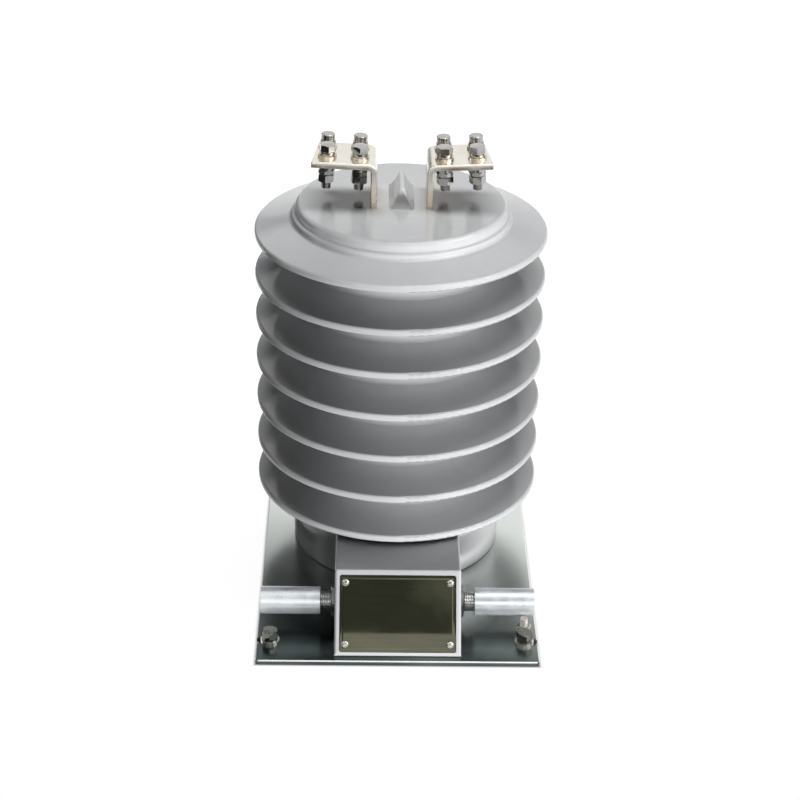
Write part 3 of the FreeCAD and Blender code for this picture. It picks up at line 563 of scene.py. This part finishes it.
pipe_y, pipe_z, nipple_bore, nipple_inner, nipple_outer = -0.222, 0.038, 0.0095, 0.055, 0.1065
nipple = threaded(core=0.0113, crest=0.0125, pitch=0.0021,
                  low=nipple_inner, high=nipple_outer, steps=40)
carve(nipple, rod(nipple_bore, nipple_inner, nipple_outer))
only(nipple)
bpy.ops.object.duplicate()
for name, piece, turn in (("right", nipple, 90.0), ("left", bpy.context.object, -90.0)):
    sideways = Matrix.Rotation(math.radians(turn), 4, "Y")
    piece = repeated("nipple_thread_" + name, piece,
                     [Matrix.Translation((0, pipe_y, pipe_z)) @ sideways])
    fitted(piece, cut_thread, "galvanised_pipe", "conduit_nipple_" + name)

dull_zinc = Finish("dull zinc locknut", Metallic=1.0)
clouds = dull_zinc.effect(MOTTLE, Scale=90.0, Detail=3.0, Low=0.35, High=0.65)
dull_zinc.colour(dull_zinc.blend(clouds, (0.13, 0.14, 0.135), (0.26, 0.27, 0.26)))
dull_zinc.roughness(dull_zinc.ramp(clouds, 0.28, 0.4))
dull_zinc.put_on(cad["conduit_locknut_right"], cad["conduit_locknut_left"])


# Primary terminals. Two flat copper bars with rounded edges are bent over outwards above the
# boss and plated with silver, which has gone creamy, and golden lower down. Their feet are cast
# into the resin.

silver = Finish("silver plated copper bar", Metallic=1.0)
clouds = silver.effect(MOTTLE, Scale=40.0, Detail=4.0, Low=0.35, High=0.65)
brush = silver.effect(STREAKS, Stretch=(30.0, 420.0, 30.0), Low=0.3, High=0.7)
tarnish = silver.ramp(silver.along("Z"), 0.0, 0.8, start=0.515, stop=0.465)
tone = silver.blend(clouds, (0.76, 0.73, 0.66), (0.84, 0.82, 0.77))
tone = silver.blend(silver.ramp(brush, 0.0, 0.3), tone, (0.72, 0.65, 0.52))
silver.colour(silver.blend(tarnish, tone, (0.58, 0.44, 0.27)))
silver.roughness(silver.ramp(clouds, 0.16, 0.28))
silver.bump(brush, 0.05, 0.0002)


def bent_bar(side):
    """The bar drawn out of its foot, round the bend and along the slightly rising pad."""
    tilt = math.radians(2.5)
    foot_x, foot_y, foot_z, thick, wide = 0.034, 0.009, 0.4304, 0.008, 0.070
    bend_x, bend_z, reach, skew = 0.041, 0.51957, 0.069197, 0.008
    bpy.ops.object.select_all(action="DESELECT")
    bpy.ops.mesh.primitive_plane_add(size=1.0, location=(side * foot_x, foot_y, foot_z))
    bar = bpy.context.object
    bar.scale = (thick, wide, 1.0)
    bpy.ops.object.transform_apply()
    bpy.ops.object.mode_set(mode="EDIT")
    bpy.ops.mesh.select_all(action="SELECT")
    bpy.ops.mesh.extrude_region_move(TRANSFORM_OT_translate={"value": (0, 0, bend_z - foot_z)})
    bpy.ops.mesh.spin(steps=12, angle=side * (math.pi / 2 - tilt),
                      center=(side * bend_x, 0, bend_z), axis=(0, -1, 0))
    bpy.ops.mesh.extrude_region_move(TRANSFORM_OT_translate={
        "value": (side * reach * math.cos(tilt), 0, reach * math.sin(tilt))})
    tidy_mesh()
    chosen(bar, "vertices", lambda vertex: abs(vertex.co.x) > 0.1 and vertex.co.y > 0.03)
    bpy.ops.transform.translate(value=(-side * skew, 0, 0))
    bpy.ops.object.mode_set(mode="OBJECT")
    worked(bar, "BEVEL", width=0.0017, segments=3, limit_method="ANGLE",
           angle_limit=math.radians(40))
    bar.name = "bent_bar_right" if side > 0 else "bent_bar_left"
    return bar


fitted(bent_bar(1), silver, "plated_copper", "terminal_bar_right")
fitted(bent_bar(-1), silver, "plated_copper", "terminal_bar_left")


# Terminal bolts. Each terminal has two M12 hexagon bolts in front and two grooved cap screws
# behind, with rolled threads. A thin nut and a full nut hold each from below, and flat and
# spring washers lie on both sides of the pad.

bright = Finish("bright stainless fastener", Metallic=1.0)
grain = bright.effect(MOTTLE, Scale=1200.0, Detail=2.0, Low=0.3, High=0.7)
clouds = bright.effect(MOTTLE, Scale=180.0, Detail=3.0, Low=0.35, High=0.65)
bright.colour(bright.blend(clouds, (0.40, 0.395, 0.385), (0.50, 0.49, 0.475)))
bright.roughness(bright.ramp(grain, 0.06, 0.13))

pad_x, pad_z, pad_rise = 0.030, 0.5301, 2.5
seat_z, nut_z, end_z = 0.5376, 0.5146, 0.4900
m12_bore, thin_height, both_heights = 0.006, 0.006, 0.0164
columns, rows = (0.051, 0.0906), (-0.004, 0.030)
head_turns = {-1: (28.0, 39.0), 1: (3.0, 26.0)}
nut_turns = {-1: (33.0, 18.0), 1: (42.0, 48.0)}


def on_pads(of_rows, turns, extra=0.0, row_turn=0.0):
    """Places on both rising pads, in one row of holes or both, each with its own turn."""
    places = []
    for side in (-1, 1):
        pivot = Vector((side * pad_x, 0, pad_z))
        rise = Matrix.Rotation(math.radians(-side * pad_rise), 4, "Y")
        tilt = Matrix.Translation(pivot) @ rise @ Matrix.Translation(-pivot)
        for x, turn in zip(columns, turns[side]):
            for row in of_rows:
                own_turn = Matrix.Rotation(math.radians(turn + extra + row_turn * row), 4, "Z")
                places.append(tilt @ Matrix.Translation((side * x, rows[row], 0)) @ own_turn)
    return places


bolt = joined("terminal_bolt", [
    hexagon(m12_flats, seat_z, seat_z + m12_head),
    threaded(**m12, low=end_z, high=seat_z + into_head)])
bolt = repeated("terminal_bolts_threaded", bolt, on_pads((0,), head_turns))
fitted(bolt, bright, "bright_steel", "terminal_bolts")

cap_radius, cap_height, cap_chamfer = 0.0085, 0.0092, 0.0008
groove_radius, first_groove, groove_step = 0.0079, 0.0014, 0.0024
cap = [(0, seat_z), (cap_radius, seat_z)]
for k in range(3):
    groove = seat_z + first_groove + groove_step * k
    cap += [(cap_radius, groove - 0.0001), (groove_radius, groove + 0.0003),
            (groove_radius, groove + 0.0007), (cap_radius, groove + 0.0011)]
cap += [(cap_radius, seat_z + cap_height - cap_chamfer),
        (cap_radius - cap_chamfer, seat_z + cap_height), (0, seat_z + cap_height)]
screw = joined("cap_screw", [spun(cap), threaded(**m12, low=end_z, high=seat_z + into_head)])
screw = repeated("cap_screws_threaded", screw, on_pads((1,), head_turns))
fitted(screw, bright, "bright_steel", "terminal_cap_screws")

thin = hexagon(m12_flats, nut_z - thin_height, nut_z, m12_bore)
thin = repeated("thin_nuts", thin, on_pads((0, 1), nut_turns, row_turn=9.0))
fitted(thin, bright, "bright_steel", "terminal_thin_nuts")
full = hexagon(m12_flats, nut_z - both_heights, nut_z - thin_height, m12_bore)
full = repeated("full_nuts", full, on_pads((0, 1), nut_turns, extra=6.0, row_turn=9.0))
fitted(full, bright, "bright_steel", "terminal_nuts")
bright.put_on(cad["terminal_spring_washers"])

yellow = Finish("yellow passivated washers", Metallic=1.0)
clouds = yellow.effect(MOTTLE, Scale=160.0, Detail=3.0, Low=0.35, High=0.65)
yellow.colour(yellow.blend(clouds, (0.52, 0.43, 0.30), (0.80, 0.73, 0.60)))
yellow.roughness(yellow.ramp(clouds, 0.12, 0.24))
yellow.put_on(cad["terminal_flat_washers"])


# Inside the casting. Wound steel cores with taped copper windings, the copper primary bar, the
# leads and brass sockets are sealed in the resin. The laminate terminal board with its brass
# studs only shows when the cover is off.

inner_looks = (
    ("wound core steel", 1.0, 0.45, (0.22, 0.22, 0.23), (0.34, 0.34, 0.35),
     ("ring_cores",)),
    ("taped copper winding", 0.0, 0.6, (0.42, 0.20, 0.10), (0.58, 0.30, 0.17),
     ("secondary_windings",)),
    ("bare copper", 1.0, 0.3, (0.72, 0.36, 0.24), (0.85, 0.48, 0.33),
     ("primary_conductor", "secondary_leads")),
    ("turned brass", 1.0, 0.25, (0.62, 0.46, 0.20), (0.78, 0.62, 0.32),
     ("body_sockets", "secondary_studs", "secondary_washers", "secondary_nuts")),
    ("brown laminate", 0.0, 0.5, (0.16, 0.08, 0.04), (0.27, 0.14, 0.07),
     ("terminal_board",)),
)
for title, metallic, rough, dark, light, names in inner_looks:
    inner = Finish(title, Metallic=metallic)
    clouds = inner.effect(MOTTLE, Scale=120.0, Detail=3.0, Low=0.3, High=0.7)
    inner.colour(inner.blend(clouds, dark, light))
    inner.roughness(inner.ramp(clouds, rough, rough + 0.12))
    inner.put_on(*[cad[name] for name in names])


# Studio. A plain pale floor under open white surroundings, one soft lamp overhead, a broad low
# one in front, a little to the right, and a fill behind. Dark boards and white cards out of
# view are there for the metal to mirror.

bpy.ops.object.select_all(action="DESELECT")
bpy.ops.mesh.primitive_plane_add(size=12.0, location=(0, 5.64, -0.0005))
bpy.ops.object.transform_apply()
floor = bpy.context.object
floor.name = "studio_floor"
pale = bpy.data.materials.new("pale floor")
pale.use_nodes = True
tree = pale.node_tree
tree.nodes.clear()
white = (1.0, 1.0, 1.0, 1.0)
position = tree.nodes.new("ShaderNodeTexCoord").outputs["Object"]
distance = past_outline(tree, position)
beside = place(tree, "ShaderNodeMapRange", interpolation_type="SMOOTHSTEP",
               From_Min=-0.003, From_Max=0.004, To_Max=0.90)
away = place(tree, "ShaderNodeMapRange", interpolation_type="SMOOTHSTEP",
             From_Min=0.25, From_Max=1.2, To_Max=0.10)
total = combined(tree, "ADD", beside.outputs["Result"], away.outputs["Result"])
rays = tree.nodes.new("ShaderNodeLightPath").outputs
seen = combined(tree, "MAXIMUM", rays["Is Camera Ray"], rays["Is Glossy Ray"])
matt = place(tree, "ShaderNodeBsdfDiffuse", Color=(0.20, 0.20, 0.20, 1.0))
glow = place(tree, "ShaderNodeEmission", Color=white)
both = tree.nodes.new("ShaderNodeAddShader")
shown = tree.nodes.new("ShaderNodeMixShader")
out = tree.nodes.new("ShaderNodeOutputMaterial")
wire(tree,
     (distance, beside.inputs["Value"]),
     (distance, away.inputs["Value"]),
     (total, glow.inputs["Strength"]),
     (matt.outputs[0], both.inputs[0]),
     (glow.outputs[0], both.inputs[1]),
     (seen, shown.inputs["Fac"]),
     (matt.outputs[0], shown.inputs[1]),
     (both.outputs[0], shown.inputs[2]),
     (shown.outputs[0], out.inputs["Surface"]))
floor.data.materials.append(pale)

world = bpy.data.worlds.new("open studio")
bpy.context.scene.world = world
world.use_nodes = True
tree = world.node_tree
tree.nodes.clear()
ambient = place(tree, "ShaderNodeBackground", Color=white, Strength=0.016)
backdrop = place(tree, "ShaderNodeBackground", Color=white, Strength=1.0)
rays = tree.nodes.new("ShaderNodeLightPath").outputs
seen = combined(tree, "MAXIMUM", rays["Is Camera Ray"], rays["Is Glossy Ray"])
seen = combined(tree, "MAXIMUM", seen, rays["Is Transmission Ray"])
shown = tree.nodes.new("ShaderNodeMixShader")
out = tree.nodes.new("ShaderNodeOutputWorld")
wire(tree,
     (seen, shown.inputs["Fac"]),
     (ambient.outputs[0], shown.inputs[1]),
     (backdrop.outputs[0], shown.inputs[2]),
     (shown.outputs[0], out.inputs["Surface"]))


def soft_light(name, place_at, aim_at, width, height, watts):
    """A rectangular studio lamp turned towards a point, which metal doesn't mirror."""
    bpy.ops.object.light_add(type="AREA", location=place_at)
    lamp = bpy.context.object
    lamp.name = name
    lamp.data.shape = "RECTANGLE"
    lamp.data.size, lamp.data.size_y = width, height
    lamp.data.energy = watts
    lamp.rotation_euler = (Vector(aim_at) - Vector(place_at)).to_track_quat("-Z", "Y").to_euler()
    lamp.visible_glossy = False


soft_light("overhead_softbox", (0.10, 0.36, 2.3), (0.0, 0.0, 0.4), 2.6, 0.70, 50.0)
soft_light("front_key", (1.75, -3.4, -0.16), (0.0, 0.0, 0.20), 3.2, 0.30, 290.0)
soft_light("rear_fill", (-0.2, 3.1, 0.45), (0.0, 0.0, 0.25), 2.6, 0.9, 70.0)


def mirrored_board(name, centre, aim_at, width, height, colour, patches=None):
    """A flat board beside the set, seen only in reflections, with soft patches if wanted."""
    bpy.ops.mesh.primitive_plane_add(size=1.0, location=(0, 0, 0))
    board = bpy.context.object
    board.name = name
    turn = (Vector(aim_at) - Vector(centre)).to_track_quat("Z", "Y").to_matrix().to_4x4()
    size = Matrix.Diagonal((width, height, 1, 1))
    board.data.transform(Matrix.Translation(centre) @ turn @ size)
    card = bpy.data.materials.new(name)
    card.use_nodes = True
    tree = card.node_tree
    tree.nodes.clear()
    tone = place(tree, "ShaderNodeEmission", Color=(*colour, 1.0), Strength=1.0)
    if patches is not None:
        where = tree.nodes.new("ShaderNodeTexCoord")
        noise = place(tree, "ShaderNodeTexNoise", Scale=5.0, Detail=3.0)
        spread = place(tree, "ShaderNodeMapRange", From_Min=0.48, From_Max=0.72)
        mix = place(tree, "ShaderNodeMix", data_type="RGBA")
        feed(tree, mix.inputs["A"], colour)
        feed(tree, mix.inputs["B"], patches)
        wire(tree,
             (where.outputs["Object"], noise.inputs["Vector"]),
             (noise.outputs["Fac"], spread.inputs["Value"]),
             (spread.outputs["Result"], mix.inputs["Factor"]),
             (mix.outputs["Result"], tone.inputs["Color"]))
    out = tree.nodes.new("ShaderNodeOutputMaterial")
    tree.links.new(tone.outputs[0], out.inputs["Surface"])
    board.data.materials.append(card)
    board.visible_camera = False
    board.visible_shadow = False
    board.visible_diffuse = False


black, brown = (0.03, 0.03, 0.03), (0.13, 0.10, 0.065)
mirrored_board("key_card", (1.75, -0.95, 1.75), (0.0, 0.0, 0.45), 1.6, 0.40, (12.0, 12.0, 11.8))
mirrored_board("front_card", (0.35, -2.75, 1.05), (0.0, -0.2, 0.1), 1.9, 0.85, (2.4, 2.4, 2.35))
mirrored_board("upper_right_card", (0.42, -0.15, 2.0), (0.15, -0.2, 0.05), 0.65, 0.9,
               (3.2, 3.2, 3.1))
mirrored_board("upper_left_board", (-0.80, 0.45, 1.95), (-0.2, 0.0, 0.05), 1.1, 0.9, black)
mirrored_board("left_board", (-1.6, -0.9, 0.5), (0.0, 0.0, 0.45), 1.6, 1.4, black)
mirrored_board("rear_left_board", (-1.3, 1.1, 0.64), (0.0, 0.0, 0.45), 2.0, 1.2, black)
mirrored_board("low_board", (0.1, -0.98, 0.004), (0.1, -0.98, 1.0), 1.0, 1.2, brown)
mirrored_board("left_low_board", (-1.05, -0.45, 0.006), (-1.05, -0.45, 1.0), 1.3, 2.0, black)
mirrored_board("high_board", (0.0, -2.2, 2.36), (0.0, -0.27, 0.05), 3.0, 1.10,
               (0.18, 0.19, 0.175), patches=(0.46, 0.48, 0.45))

# The camera stands in front and looks down by about 28 degrees, as in the photograph.
look_down, turn_aside, roll = 0.4915, -0.0194, 0.0193
bpy.ops.object.camera_add(location=(-0.04123, -2.27025, 1.41387))
camera = bpy.context.object
camera.data.lens = 90.13
camera.data.sensor_width = 36.0
camera.data.clip_start, camera.data.clip_end = 0.05, 50.0
camera.rotation_euler = (
    Matrix.Rotation(turn_aside, 4, "Z")
    @ Matrix.Rotation(math.pi / 2 - look_down, 4, "X")
    @ Matrix.Rotation(roll, 4, "Z")
).to_euler()
bpy.context.scene.camera = camera
bpy.context.scene.view_settings.view_transform = "Standard"
